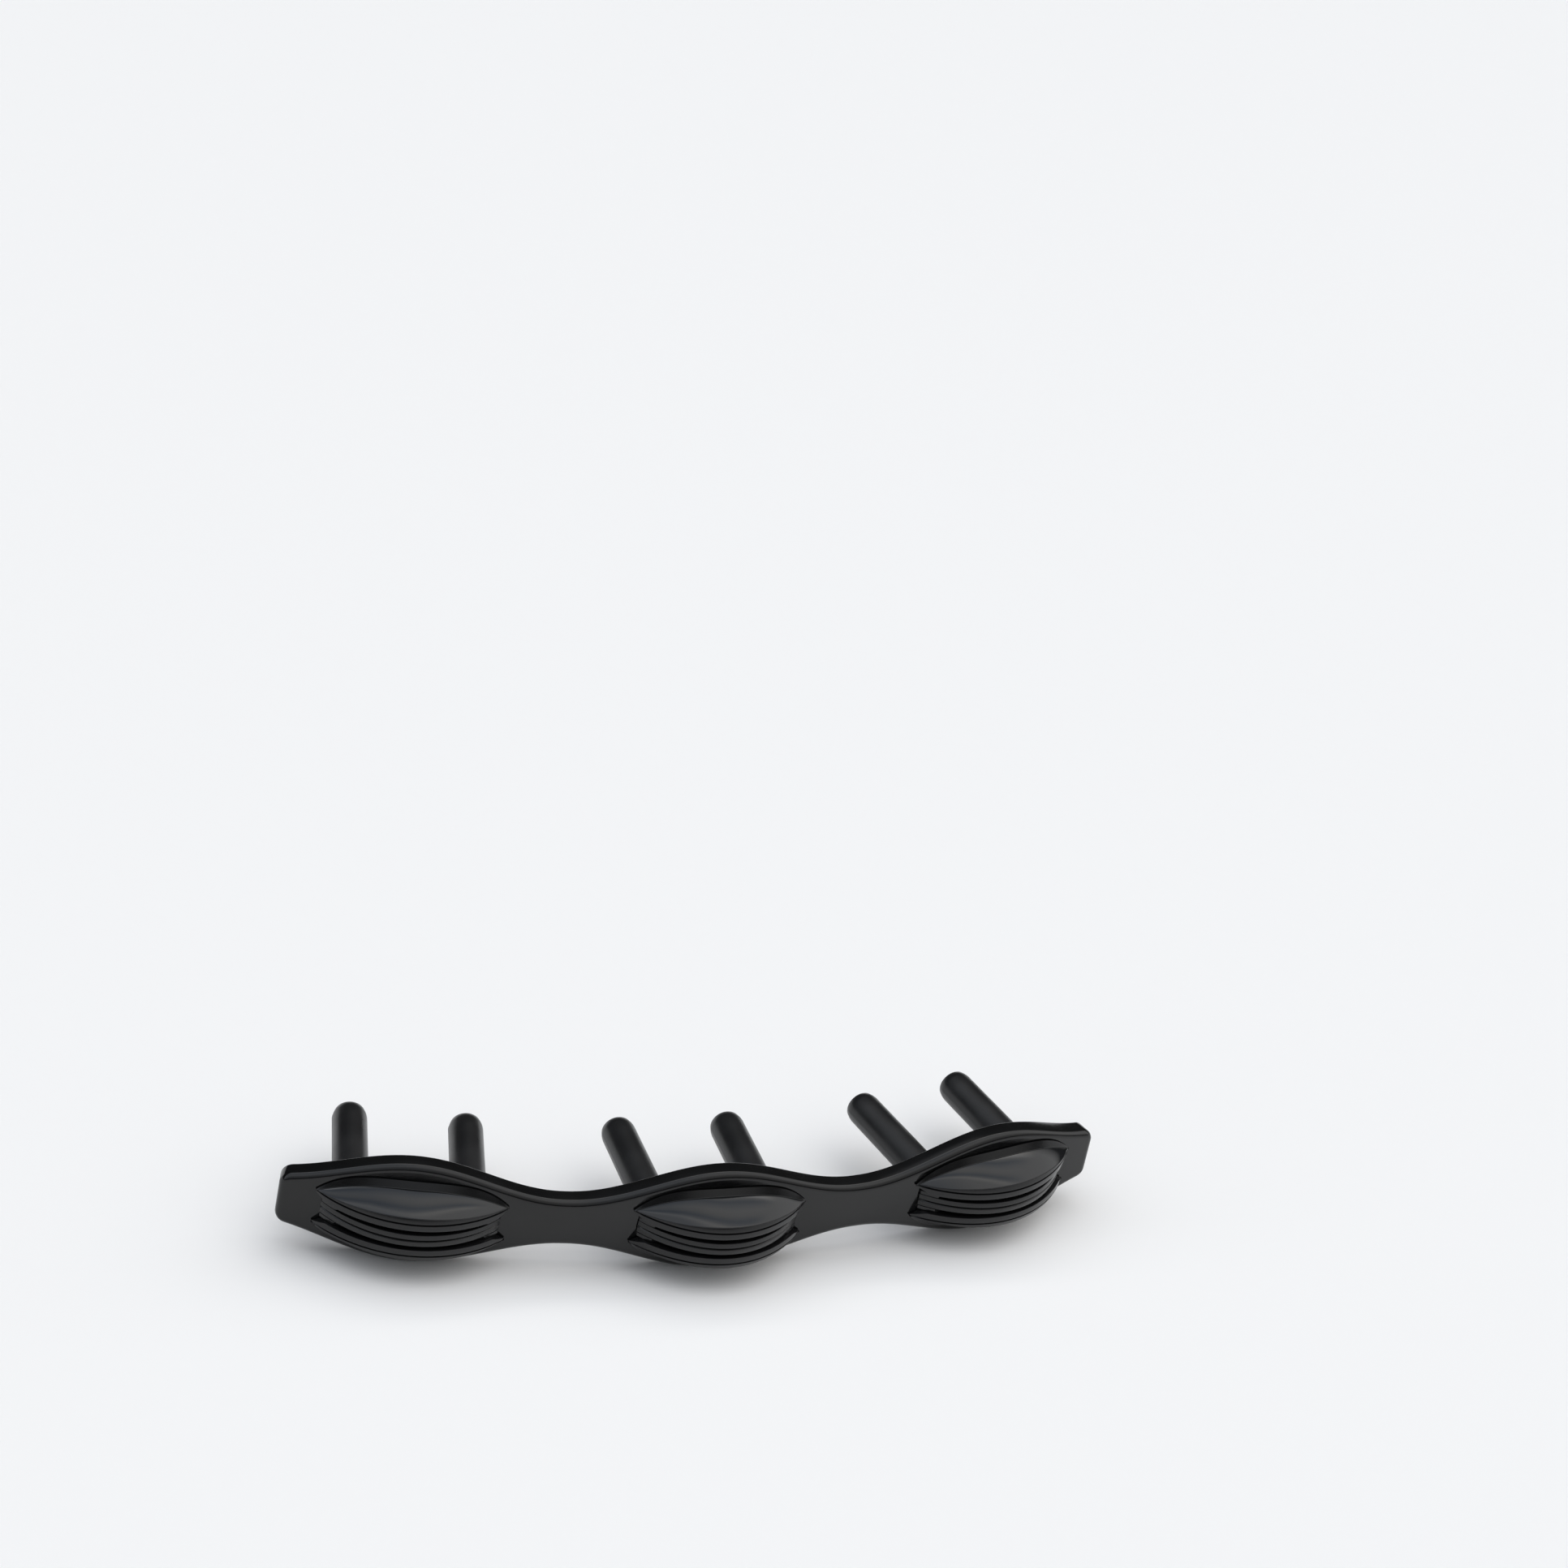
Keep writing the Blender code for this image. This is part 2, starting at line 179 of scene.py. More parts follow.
# ------------------------------------------------------------------ camera
CAMERA_AT = (-0.1647, -0.3543, 0.2855)
CAMERA_RIGHT = Vector((0.934028, -0.310759, 0.176125))
CAMERA_UP = Vector((0.026263, 0.551486, 0.833771))
CAMERA_BACK = Vector((-0.356232, -0.774140, 0.523265))
FOCAL = 122.83  # for a sensor of 36 mm


def make_camera():
    data = bpy.data.cameras.new("camera")
    data.lens = FOCAL
    data.sensor_width = 36.0
    data.clip_start = 0.01
    data.clip_end = 20.0
    cam = bpy.data.objects.new("camera", data)
    bpy.context.scene.collection.objects.link(cam)
    turn = Matrix((CAMERA_RIGHT, CAMERA_UP, CAMERA_BACK)).transposed().to_4x4()
    cam.matrix_world = Matrix.Translation(CAMERA_AT) @ turn
    bpy.context.scene.camera = cam


make_camera()


# ------------------------------------------------------------------ materials
CLOUD_SCALE = 260.0  # soft clouds of tone, per metre
RUB_SCALE = (180.0, 2600.0, 2600.0)  # rubbing marks, drawn out along the part
RUB_TURN = 0.12
DUST_SCALE = 1500.0
DUST_COLOUR = (0.10, 0.10, 0.105, 1.0)
INDEX = 1.43
COATED_INDEX = 1.455
COAT_ROUGH = 0.06


def node(tree, kind, **values):
    made = tree.nodes.new(kind)
    for key, value in values.items():
        setattr(made, key, value)
    return made


def polymer(name, colour, rough, vary, peel, peel_size, coat=0.0, specks=0.0):
    """Moulded black polymer: clouds of tone, rubbing marks along the part and fine orange peel.

    rough +- vary is the roughness; peel and its size are in millimetres.
    """
    mat = bpy.data.materials.new(name)
    mat.use_nodes = True
    tree = mat.node_tree
    shader = tree.nodes["Principled BSDF"]
    link = tree.links.new
    where = node(tree, "ShaderNodeTexCoord")

    cloud = node(tree, "ShaderNodeTexNoise")
    cloud.inputs["Scale"].default_value = CLOUD_SCALE
    cloud.inputs["Detail"].default_value = 3.0
    link(where.outputs["Object"], cloud.inputs["Vector"])

    stretch = node(tree, "ShaderNodeMapping")
    stretch.inputs["Scale"].default_value = RUB_SCALE
    stretch.inputs["Rotation"].default_value = (0.0, 0.0, RUB_TURN)
    link(where.outputs["Object"], stretch.inputs["Vector"])
    rub = node(tree, "ShaderNodeTexNoise")
    rub.inputs["Scale"].default_value = 1.0
    rub.inputs["Detail"].default_value = 4.0
    rub.inputs["Roughness"].default_value = 0.62
    link(stretch.outputs["Vector"], rub.inputs["Vector"])

    fine = node(tree, "ShaderNodeTexNoise")
    fine.inputs["Scale"].default_value = 1000.0 / peel_size
    fine.inputs["Detail"].default_value = 2.0
    link(where.outputs["Object"], fine.inputs["Vector"])

    mixed = node(tree, "ShaderNodeMath", operation="MULTIPLY_ADD")
    link(rub.outputs["Fac"], mixed.inputs[0])
    mixed.inputs[1].default_value = 0.45
    link(cloud.outputs["Fac"], mixed.inputs[2])
    shine = node(tree, "ShaderNodeMapRange")
    shine.inputs["From Min"].default_value = 0.45
    shine.inputs["From Max"].default_value = 1.0
    shine.inputs["To Min"].default_value = rough - vary
    shine.inputs["To Max"].default_value = rough + vary
    link(mixed.outputs["Value"], shine.inputs["Value"])
    link(shine.outputs["Result"], shader.inputs["Roughness"])

    tone = node(tree, "ShaderNodeValToRGB")
    tone.color_ramp.elements[0].position = 0.35
    tone.color_ramp.elements[0].color = (*[c * 0.82 for c in colour], 1.0)
    tone.color_ramp.elements[1].position = 0.68
    tone.color_ramp.elements[1].color = (*[c * 1.22 for c in colour], 1.0)
    link(cloud.outputs["Fac"], tone.inputs["Fac"])
    if specks:
        dust = node(tree, "ShaderNodeTexVoronoi")
        dust.inputs["Scale"].default_value = DUST_SCALE
        link(where.outputs["Object"], dust.inputs["Vector"])
        spot = node(tree, "ShaderNodeMapRange")
        spot.inputs["From Min"].default_value = 0.03
        spot.inputs["From Max"].default_value = 0.09
        spot.inputs["To Min"].default_value = specks
        spot.inputs["To Max"].default_value = 0.0
        link(dust.outputs["Distance"], spot.inputs["Value"])
        blend = node(tree, "ShaderNodeMix", data_type="RGBA")
        blend.inputs["B"].default_value = DUST_COLOUR
        link(spot.outputs["Result"], blend.inputs["Factor"])
        link(tone.outputs["Color"], blend.inputs["A"])
        link(blend.outputs["Result"], shader.inputs["Base Color"])
    else:
        link(tone.outputs["Color"], shader.inputs["Base Color"])

    bump = node(tree, "ShaderNodeBump")
    bump.inputs["Strength"].default_value = 0.35
    bump.inputs["Distance"].default_value = peel * MM
    link(fine.outputs["Fac"], bump.inputs["Height"])
    link(bump.outputs["Normal"], shader.inputs["Normal"])
    shader.inputs["IOR"].default_value = COATED_INDEX if coat else INDEX
    shader.inputs["Metallic"].default_value = 0.0
    shader.inputs["Coat Weight"].default_value = coat
    shader.inputs["Coat Roughness"].default_value = COAT_ROUGH
    return mat


STRIP_MAT = polymer("strip_gloss_nylon", (0.0055, 0.0055, 0.0056), 0.13, 0.035, 0.004, 0.55)
CAP_MAT = polymer("cap_elastomer", (0.0060, 0.0060, 0.0062), 0.20, 0.05, 0.004, 0.30)
LENS_MAT = polymer("lens_polish", (0.0070, 0.0074, 0.0082), 0.05, 0.015, 0.002, 0.60, coat=0.08)
LAMELLA_MAT = polymer("lamella_elastomer", (0.0060, 0.0060, 0.0060), 0.24, 0.05, 0.004, 0.25)
BARREL_MAT = polymer("barrel_nylon", (0.0110, 0.0110, 0.0115), 0.32, 0.07, 0.008, 0.20, specks=0.25)
SADDLE_MAT = polymer("saddle_nylon", (0.0120, 0.0120, 0.0125), 0.28, 0.08, 0.006, 0.20, specks=0.2)


# ------------------------------------------------------------------ shape helpers
def sag(u):
    """How far the strip's curved face lies behind the pod's own plane."""
    return ARC_R - math.sqrt(ARC_R * ARC_R - u * u)


def joint(name):
    return next(j for j in RECORD["behaviour"]["joints"] if j["name"] == name)


def pod_frame(pod):
    """World matrix of a pod, read from its lamella's hinge: X along the strip, -Y outwards."""
    hinge = joint(f"middle_lamella_{pod}_flex")
    along = Vector(hinge["axis"]).normalized()
    out = Vector((along.y, -along.x, 0.0))
    origin = Vector(hinge["pos_m"]) - out * LAMELLA_HINGE[0] * MM
    turn = Matrix((along, -out, Vector((0.0, 0.0, 1.0)))).transposed().to_4x4()
    return Matrix.Translation(origin) @ turn


POD_FRAMES = {pod: pod_frame(pod) for pod, _, _, _ in PODS}


def from_rings(name, rings, mat, matrix=None, sharp=32.0, close=True):
    """Smooth skin through rings of (x, y, z) points in millimetres.

    It is capped at both ends, or joined from the last ring to the first where close is off.
    """
    bm = bmesh.new()
    rows = [[bm.verts.new(Vector(p) * MM) for p in ring] for ring in rings]
    count = len(rows[0])
    for a, b in zip(rows, rows[1:]):
        for i in range(count):
            j = (i + 1) % count
            bm.faces.new((a[i], a[j], b[j], b[i]))
    if close:
        bm.faces.new(list(reversed(rows[0])))
        bm.faces.new(rows[-1])
    else:
        for i in range(count):
            j = (i + 1) % count
            bm.faces.new((rows[-1][i], rows[-1][j], rows[0][j], rows[0][i]))
    bmesh.ops.recalc_face_normals(bm, faces=bm.faces)
    mesh = bpy.data.meshes.new(name)
    bm.to_mesh(mesh)
    bm.free()
    mesh.materials.append(mat)
    mesh.shade_smooth()
    mesh.set_sharp_from_angle(angle=math.radians(sharp))
    obj = bpy.data.objects.new(name, mesh)
    bpy.context.scene.collection.objects.link(obj)
    if matrix is not None:
        obj.matrix_world = matrix
    return obj


def arc_points(cx, cy, radius, start, stop, steps):
    """Points of a fillet, angles in degrees."""
    points = []
    for i in range(steps + 1):
        a = math.radians(start + (stop - start) * i / steps)
        points.append((cx + radius * math.cos(a), cy + radius * math.sin(a)))
    return points


def rounded(points, radii, steps):
    """A closed outline with its corners rounded; a radius of 0 keeps its corner sharp."""
    out = []
    total = len(points)
    for i, (p, r) in enumerate(zip(points, radii)):
        p = Vector(p)
        before = Vector(points[i - 1]) - p
        after = Vector(points[(i + 1) % total]) - p
        r = min(r, before.length * 0.45, after.length * 0.45)
        if r <= 0:
            out += [tuple(p)] * (steps + 1)
            continue
        a = p + before.normalized() * r
        b = p + after.normalized() * r
        for s in range(steps + 1):
            t = s / steps
            q = a * (1 - t) ** 2 + p * (2 * t * (1 - t)) + b * t * t
            out.append(tuple(q))
    return out


def eased(end, steps):
    """Stations from -end to end, closer together towards the ends."""
    return [end * math.sin(math.pi / 2 * i / steps) for i in range(-steps, steps + 1)]


def turned(name, profile, mat, matrix, seam, steps=72):
    """A closed outline turned about Z, with two faint mould lines where its points are marked.

    profile holds (radius, height, marked).
    """
    rings = []
    for i in range(steps):
        a = 2 * math.pi * i / steps
        proud = seam * math.exp(-((math.sin(a) / 0.05) ** 2))
        ring = []
        for r, h, marked in profile:
            out = r + proud if marked else r
            ring.append((out * math.cos(a), out * math.sin(a), h))
        rings.append(ring)
    return from_rings(name, rings, mat, matrix, sharp=40.0, close=False)


def stand(pod, u):
    """Frame at u on a pod whose Z points outwards."""
    return POD_FRAMES[pod] @ Matrix.Translation((u * MM, 0.0, 0.0)) @ Matrix.Rotation(math.pi / 2, 4, "X")


def shade(obj):
    """Smooth shading with the edges of a cut body kept sharp."""
    obj.data.shade_smooth()
    obj.data.set_sharp_from_angle(angle=math.radians(30))


def apply_modifiers(obj):
    graph = bpy.context.evaluated_depsgraph_get()
    mesh = bpy.data.meshes.new_from_object(obj.evaluated_get(graph))
    mesh.name = obj.name
    obj.modifiers.clear()
    obj.data = mesh


def cut(obj, cutters, operation="DIFFERENCE"):
    """Cuts the cutters from obj, or joins them to it, and removes them."""
    for cutter in cutters:
        modifier = obj.modifiers.new(cutter.name, "BOOLEAN")
        modifier.operation = operation
        modifier.solver = "EXACT"
        modifier.object = cutter
    bpy.context.view_layer.update()
    apply_modifiers(obj)
    for cutter in cutters:
        bpy.data.objects.remove(cutter, do_unlink=True)


def round_bar(name, matrix, low, high, radius, mat=None):
    """A bar along h with rounded corners: a cutter for a slot, or a root key."""
    (u0, h0, z0), (u1, h1, z1) = low, high
    outline = []
    for cx, cz, start in ((u1 - radius, z1 - radius, 0), (u0 + radius, z1 - radius, 90),
                          (u0 + radius, z0 + radius, 180), (u1 - radius, z0 + radius, 270)):
        outline += arc_points(cx, cz, radius, start, start + 90, 6)
    rings = [[(x, -h, z) for x, z in outline] for h in (h0, h1)]
    return from_rings(name, rings, mat or STRIP_MAT, matrix)


# ------------------------------------------------------------------ carrier strip
CORNER_STEPS = 10
STRIP_STEPS = 200
FACE_SHARES = (0.0, 0.1, 0.2, 0.3, 0.4, 0.5, 0.6, 0.7, 0.8, 0.88, 0.94, 1.0)
SAME_PLACE = 0.002  # corners closer than this become one


def half_width(s):
    """Half width of the strip at arc position s, scalloped at the pods and rounded at its ends."""
    width = NECK_W
    for _, centre, _, _ in PODS:
        reach = (s - centre) / SCALLOP_L
        if abs(reach) < 1:
            width += (POD_W - NECK_W) * 0.5 * (1 + math.cos(math.pi * reach))
    inset = abs(s) - (STRIP_HALF - END_R)
    if inset > 0:
        width -= END_R - math.sqrt(max(END_R**2 - inset**2, 0.0))
    return width


def strip_half_section(s):
    """(h, z) from the middle of the face, over the lip, to the middle of the back."""
    w = half_width(s)
    inset = abs(s) - (STRIP_HALF - LIP_R)
    drop = 1.0 if inset <= 0 else math.sqrt(max(1 - (inset / LIP_R) ** 2, 0.0))
    points = [(0.0, (w - LIP_R - LIP_STEP) * share) for share in FACE_SHARES]
    points += [(-LIP_R + y, w - LIP_R + x) for x, y in arc_points(0, 0, LIP_R, 90, 0, 12)]
    points = [(-LIP_R + (h + LIP_R) * drop, z) for h, z in points]
    points += [(WALL_H, w), (-STRIP_T + BACK_R, w)]
    back = arc_points(0, 0, BACK_R, 0, 90, 3)[1:]
    points += [(-STRIP_T + BACK_R - x, w - BACK_R + y) for y, x in back]
    points += [(-STRIP_T, (w - BACK_R) * share) for share in (0.75, 0.5, 0.25, 0.0)]
    return points


def strip_point(s, h, z):
    """World place, in millimetres, of a section's point; the back is flat behind each pod."""
    radius = ARC_R + h
    if h < -STRIP_T + 0.001:
        for _, centre, _, _ in PODS:
            if abs(s - centre) <= SEAT_U:
                a = centre / ARC_R
                u = (ARC_R - STRIP_T) * math.sin((s - centre) / ARC_R)
                x = radius * math.sin(a) + u * math.cos(a)
                y = ARC_R - radius * math.cos(a) - STRIP_T + u * math.sin(a)
                return (x, y, z)
    a = s / ARC_R
    return (radius * math.sin(a), ARC_R - radius * math.cos(a) - STRIP_T, z)


def make_ribs(pod, half, height):
    """Ribs of the strip that close the slots towards the tips of a pod."""
    ribs = []
    end = half * LAMELLA_SHARE
    for side in (1, -1):
        z0, z1 = sorted((side * (LAMELLA_Z + RIB_IN), side * (SLOT_Z - RIB_OUT)))
        for hand in (1, -1):
            rings = []
            for i in range(RIB_STEPS + 1):
                u = RIB_U + (end * RIB_SHARE - RIB_U) * i / RIB_STEPS
                top = min(crest(u, end, height) - RIB_UNDER, RIB_H - sag(u))
                low = -sag(u) - RIB_ROOT
                rings.append([(hand * u, -h, z) for h, z in ((low, z0), (low, z1), (top, z1), (top, z0))])
            ribs.append(from_rings(f"rib_{pod}_{side}_{hand}", rings, STRIP_MAT, POD_FRAMES[pod]))
    return ribs


def hole_profile():
    """(radius, height) of a stepped hole for a flanged barrel, flared at both faces of the strip."""
    rim = FLANGE_R + FIT
    hole = BARREL_R + FIT
    floor = FLANGE_TOP - FLANGE_T - FIT
    back = -STRIP_T
    upper = [(0.0, CUT_TOP), (rim + 0.5, CUT_TOP), (rim + HOLE_FLARE, -0.02), (rim, -0.30), (rim, floor)]
    middle = [(hole + HOLE_EDGE, floor), (hole, floor - HOLE_EDGE), (hole, back + 0.08)]
    lower = [(hole + HOLE_FLARE, back - 0.04), (hole + 0.3, back - CUT_BACK), (0.0, back - CUT_BACK)]
    return upper + middle + lower


def strip_cutters(pod):
    """Two barrel holes, the saddle's recess and the two key slots of a pod."""
    matrix = POD_FRAMES[pod]
    cutters = []
    for side, u in (("a", -BARREL_U), ("b", BARREL_U)):
        cutters.append(turned_solid(f"hole_{pod}_{side}", hole_profile(), stand(pod, u)))
    low = (-SADDLE_U - FIT, SADDLE_H[0] - FIT, -SADDLE_Z - FIT)
    high = (SADDLE_U + FIT, CUT_TOP, SADDLE_Z + FIT)
    cutters.append(round_bar(f"recess_{pod}", matrix, low, high, RECESS_R))
    for side, sign in (("upper", 1), ("lower", -1)):
        z0, z1 = sorted((sign * (KEY_Z[0] - FIT), sign * (KEY_Z[1] + FIT)))
        low = (-KEY_U - FIT, KEY_H[0] - FIT, z0)
        high = (KEY_U + FIT, CUT_TOP, z1)
        cutters.append(round_bar(f"slot_{side}_{pod}", matrix, low, high, SLOT_R))
    return cutters


def clean(obj):
    """Joins corners that lie in one place and drops the slivers between them."""
    bm = bmesh.new()
    bm.from_mesh(obj.data)
    bmesh.ops.remove_doubles(bm, verts=bm.verts, dist=SAME_PLACE * MM)
    bmesh.ops.dissolve_degenerate(bm, dist=SAME_PLACE * MM, edges=bm.edges)
    bm.to_mesh(obj.data)
    bm.free()


def make_strip():
    straight = STRIP_HALF - END_R
    turns = [math.pi / 2 * i / CORNER_STEPS for i in range(CORNER_STEPS + 1)]
    corner = [STRIP_HALF - END_R * (1 - math.sin(a)) for a in turns]
    inner = [-straight + 2 * straight * i / STRIP_STEPS for i in range(1, STRIP_STEPS)]
    rings = []
    for s in [-c for c in reversed(corner)] + inner + corner:
        half = strip_half_section(s)
        other = [(h, -z) for h, z in reversed(half[1:-1])]
        rings.append([strip_point(s, h, z) for h, z in half + other])
    strip = from_rings("carrier_strip_body", rings, STRIP_MAT)
    cut(strip, [cutter for pod, _, _, _ in PODS for cutter in strip_cutters(pod)])
    cut(strip, [rib for pod, _, half, height in PODS for rib in make_ribs(pod, half, height)], "UNION")
    clean(strip)
    shade(strip)
    return strip


def turned_solid(name, profile, matrix, steps=56):
    """A solid of revolution whose outline starts and ends on the axis."""
    bm = bmesh.new()
    top = bm.verts.new((0.0, 0.0, profile[0][1] * MM))
    bottom = bm.verts.new((0.0, 0.0, profile[-1][1] * MM))
    rows = []
    for i in range(steps):
        a = 2 * math.pi * (i + 0.5) / steps
        places = [(r * math.cos(a) * MM, r * math.sin(a) * MM, h * MM) for r, h in profile[1:-1]]
        rows.append([bm.verts.new(place) for place in places])
    for i in range(steps):
        a, b = rows[i], rows[(i + 1) % steps]
        bm.faces.new((top, a[0], b[0]))
        bm.faces.new((bottom, b[-1], a[-1]))
        for k in range(len(a) - 1):
            bm.faces.new((a[k], a[k + 1], b[k + 1], b[k]))
    bmesh.ops.recalc_face_normals(bm, faces=bm.faces)
    mesh = bpy.data.meshes.new(name)
    bm.to_mesh(mesh)
    bm.free()
    obj = bpy.data.objects.new(name, mesh)
    bpy.context.scene.collection.objects.link(obj)
    obj.matrix_world = matrix
    return obj


# ------------------------------------------------------------------ pods
def rise(u, half):
    """Share of a pod's full height: 1 in its middle and 0 at its tips."""
    return 1 - (u / half) ** 2


def softness(u, half):
    """Scale of the fine details: 1, fading out at the tips."""
    return 0.02 + 0.98 * min(1.0, rise(u, half) / SOFT_K)


def fullness(u, half, power):
    """Outline of a plate's outer side: fuller towards the tips than its crest."""
    return 1 - (abs(u) / half) ** power


def crest(u, half, height):
    k = rise(u, half)
    fall = (TIP_H - TIP_LOW) * min(abs(u) / half, 1.0) ** 8
    return TIP_H + (height - TIP_H) * k - sag(u) * (1 - k) - fall


def facet(u, half, height):
    """Lower and upper edge of the facet in (h, z), and the direction into the plate."""
    k = rise(u, half)
    full = fullness(u, half, LENS_FULL)
    low = Vector((crest(u, half, height) - LENS_DROP * k, TIP_Z + (LENS_LOW_Z - TIP_Z) * k))
    high = Vector((TIP_H + (LENS_HIGH_H - TIP_H) * k - sag(u), TIP_Z + (LENS_HIGH_Z - TIP_Z) * full))
    along = (high - low).normalized()
    inward = Vector((-along.y, along.x))
    if inward.y > 0:
        inward = -inward
    return low, high, inward


def to_local(points, u, origin, sign):
    """(h, z) points at u as places in the frame of a piece with its origin on its hinge."""
    return [(u, -(h - origin[0]), sign * (z - origin[1])) for h, z in points]


def depth_at(u, half):
    """Depth of the pocket under an inlay."""
    return POCKET_TIP + POCKET_MORE * min(1.0, rise(u, half) / POCKET_K)


def cap_section(u, half, height, pocket):
    """(h, z) outline of an upper plate: slot side, slit, bevel, pocketed facet and foot."""
    k = rise(u, half)
    soft = softness(u, half)
    top = crest(u, half, height)
    base = -sag(u) + CAP_SEAT
    low, high, inward = facet(u, half, height)
    along = (high - low).normalized()
    depth = depth_at(u, half) if pocket else RIM_STEP
    slit = TIP_Z + (EDGE_Z - TIP_Z) * k
    foot_z = TIP_Z + (FOOT_Z - TIP_Z) * fullness(u, half, FOOT_FULL)
    taper = max(0.0, (abs(u) / half - TIP_TAPER) / (1 - TIP_TAPER))
    face = SLOT_Z + taper * (TIP_Z - TIP_FACE - SLOT_Z)
    line = min(SLIT_W * soft, (slit - face) * 0.4)
    bevel = (low - Vector((top, slit))).normalized()
    rim = RIM_W * soft
    wall = rim + RIM_STEP
    corners = [
        ((base, face), 0.02),
        ((top, face), 0.03 * soft),
        ((top, slit - line), 0.02 * soft),
        ((top - LINE_D * soft, slit - line), 0.01),
        ((top - LINE_D * soft, slit + line * 0.8), 0.01),
        ((top + bevel.x * line, slit + bevel.y * line), 0.02 * soft),
        (low, 0.05 * soft),
        (low + along * rim, 0.0),
        (low + along * wall + inward * depth, 0.0),
        (high - along * wall + inward * depth, 0.0),
        (high - along * rim, 0.0),
        (high, 0.12 * soft),
        ((base + 0.02, foot_z), 0.02),
    ]
    return rounded([point for point, _ in corners], [radius for _, radius in corners], 4)


def make_cap(pod, side, half, height):
    sign = 1 if side == "upper" else -1
    lens = half * math.sqrt(1 - LENS_K)
    end = half * CAP_END
    inner = [(u, True) for u in eased(lens + 0.03, 44)]
    rim = [(lens + 0.035, False), ((lens + end) / 2, False), (end - 0.02, False), (end, False)]
    stations = [(-u, flag) for u, flag in reversed(rim)] + inner + rim
    rings = [to_local(cap_section(u, half, height, flag), u, HINGE, sign) for u, flag in stations]
    matrix = POD_FRAMES[pod] @ Matrix.Translation(Vector((0.0, -HINGE[0], sign * HINGE[1])) * MM)
    cap = from_rings(f"{side}_cap_body_{pod}", rings, CAP_MAT, matrix, sharp=30.0)
    z0, z1 = sorted((sign * KEY_Z[0], sign * KEY_Z[1]))
    low = (-KEY_U, KEY_H[0], z0)
    high = (KEY_U, KEY_H[1], z1)
    key = round_bar(f"key_{side}_{pod}", POD_FRAMES[pod], low, high, KEY_R, CAP_MAT)
    cut(cap, [key], "UNION")
    shade(cap)
    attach(cap, f"{side}_pod_plate_{pod}")
    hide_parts(f"{side}_cap_{pod}")


def lens_section(u, half, height):
    """(h, z) outline of an inlay: a domed top with rounded edges over a flat underside."""
    low, high, inward = facet(u, half, height)
    along = (high - low).normalized()
    rim = RIM_W * softness(u, half) + SEAM
    start = low + along * rim
    stop = high - along * rim
    width = max((stop - start).length, 0.02)
    under = inward * (depth_at(u, half) - LENS_FLOOR)
    dome = LENS_DOME * min(1.0, width / LENS_WIDE)
    edge = min(LENS_EDGE, width * 0.12)
    curve = [(edge * (1 - math.cos(a)), edge * (1 - math.sin(a))) for a in (0.0, 0.4, 0.8, 1.2)]
    points = [start + under] + [start + along * x + inward * y for x, y in curve]
    for share in [0.0, 0.02] + [i / 14 for i in range(1, 14)] + [0.98, 1.0]:
        lift = dome * (1 - (2 * share - 1) ** 2)
        points.append(start + along * (edge + (width - 2 * edge) * share) - inward * lift)
    points += [stop - along * x + inward * y for x, y in reversed(curve)]
    points.append(stop + under)
    return points


def make_lens(pod, side, half, height):
    sign = 1 if side == "upper" else -1
    end = half * math.sqrt(1 - LENS_K)
    rings = [to_local(lens_section(u, half, height), u, HINGE, sign) for u in eased(end, 48)]
    matrix = POD_FRAMES[pod] @ Matrix.Translation(Vector((0.0, -HINGE[0], sign * HINGE[1])) * MM)
    lens = from_rings(f"{side}_lens_inlay_{pod}", rings, LENS_MAT, matrix, sharp=20.0)
    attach(lens, f"{side}_pod_plate_{pod}")
    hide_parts(f"{side}_lens_{pod}")


def lamella_section(u, half, height):
    """(h, z) outline of the tongue over its arch, with a fine line along its crest."""
    span = half * LAMELLA_ARCH
    base = -sag(u) + LAMELLA_SEAT
    inner = base
    if abs(u) < span:
        inner = base + (height - LAMELLA_DEEP - base) * (1 - (abs(u) / span) ** 4)
    top = max(crest(u, half, height), inner + 0.06)
    soft = max(0.05, min(1.0, (top - inner) / 0.5))
    lip = top + LAMELLA_LIP * soft
    z = LAMELLA_Z
    line = [(lip, LINE_W), (top - LINE_D * soft, 0.0), (lip, -LINE_W)]
    corners = [(inner, -z), (inner, z), (top, z)] + line + [(top, -z)]
    return rounded(corners, [0.05, 0.05, 0.04, 0.02, 0.01, 0.02, 0.04], 4)


def make_lamella(pod, cap_half, height):
    half = cap_half * LAMELLA_SHARE
    end = half * LAMELLA_END
    span = half * LAMELLA_ARCH
    rim = [span + (end - span) * f for f in (0.15, 0.35, 0.6, 0.8, 0.93, 1.0)]
    stations = [-u for u in reversed(rim)] + eased(span, 48) + rim
    rings = [to_local(lamella_section(u, half, height), u, LAMELLA_HINGE, 1) for u in stations]
    matrix = POD_FRAMES[pod] @ Matrix.Translation(Vector((0.0, -LAMELLA_HINGE[0], 0.0)) * MM)
    lamella = from_rings(f"middle_lamella_tongue_{pod}", rings, LAMELLA_MAT, matrix, sharp=30.0)
    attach(lamella, f"lamella_{pod}")
    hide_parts(f"middle_lamella_{pod}")


